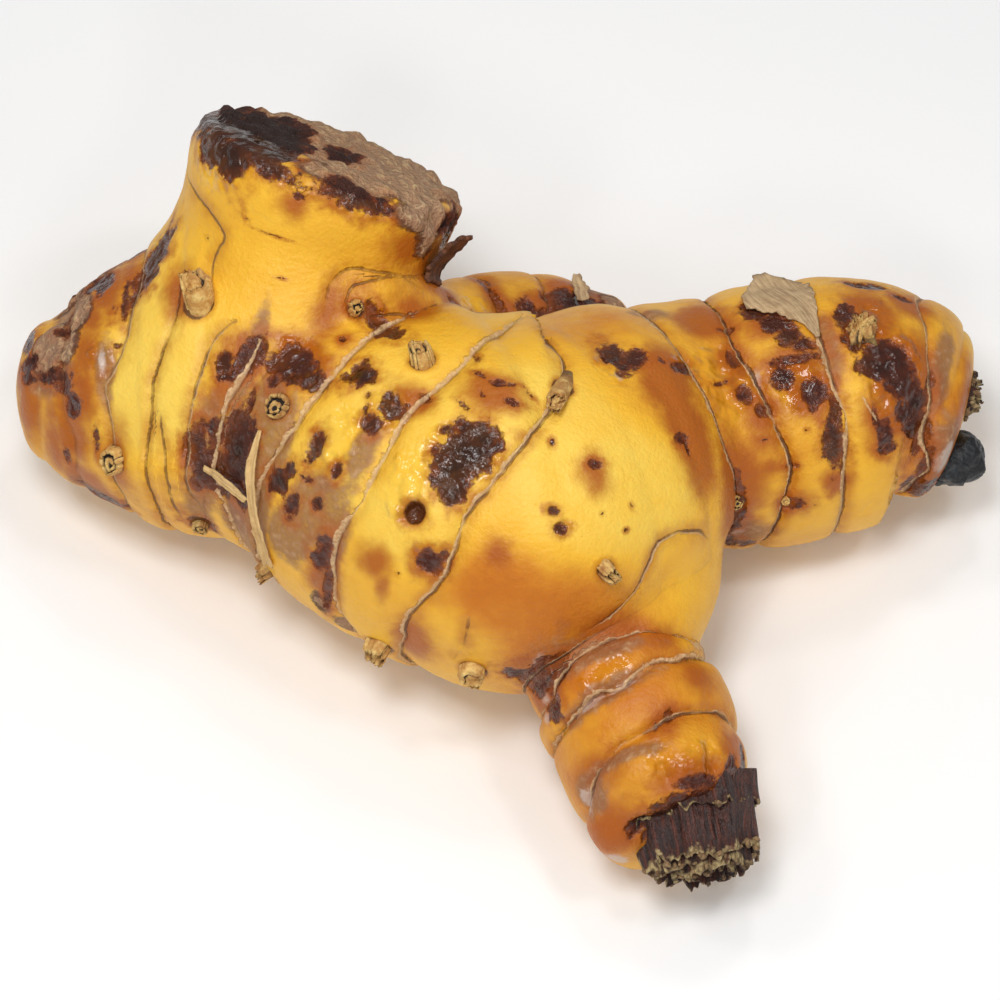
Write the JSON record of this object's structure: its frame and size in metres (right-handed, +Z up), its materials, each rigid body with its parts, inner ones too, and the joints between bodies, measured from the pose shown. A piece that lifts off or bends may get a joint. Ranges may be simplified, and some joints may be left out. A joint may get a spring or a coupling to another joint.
{
  "type": "galangal rhizome",
  "caption": "Knobbly ringed galangal rhizome: a thick body forking into blunt fingers, with a broken knob, trimmed root stubs, an end bud and dry stem remains.",
  "frame": {"origin": "under the middle of the whole object's bounding box, on the plane it rests on", "axes": "+X along the length from the left lobe to the right finger, +Z up, the long finger points towards -Y"},
  "size_m": [0.1097, 0.0902, 0.0483],
  "materials": {
    "skin": "moist living skin, yellow to orange with dark bruises",
    "husk": "dry brown fibrous sheath",
    "bud": "dark damp bud skin",
    "dry_leaf": "dry papery straw"
  },
  "bodies": {
    "root": {"rhizome": "skin", "stem_stub": "husk", "stem_base": "husk", "end_bud": "bud", "fibre_long": "dry_leaf", "fibre_short": "dry_leaf", "scale_top": "dry_leaf", "scale_left": "dry_leaf", "scale_back": "dry_leaf", "torn_skin": "husk"}
  },
  "joints": []
}
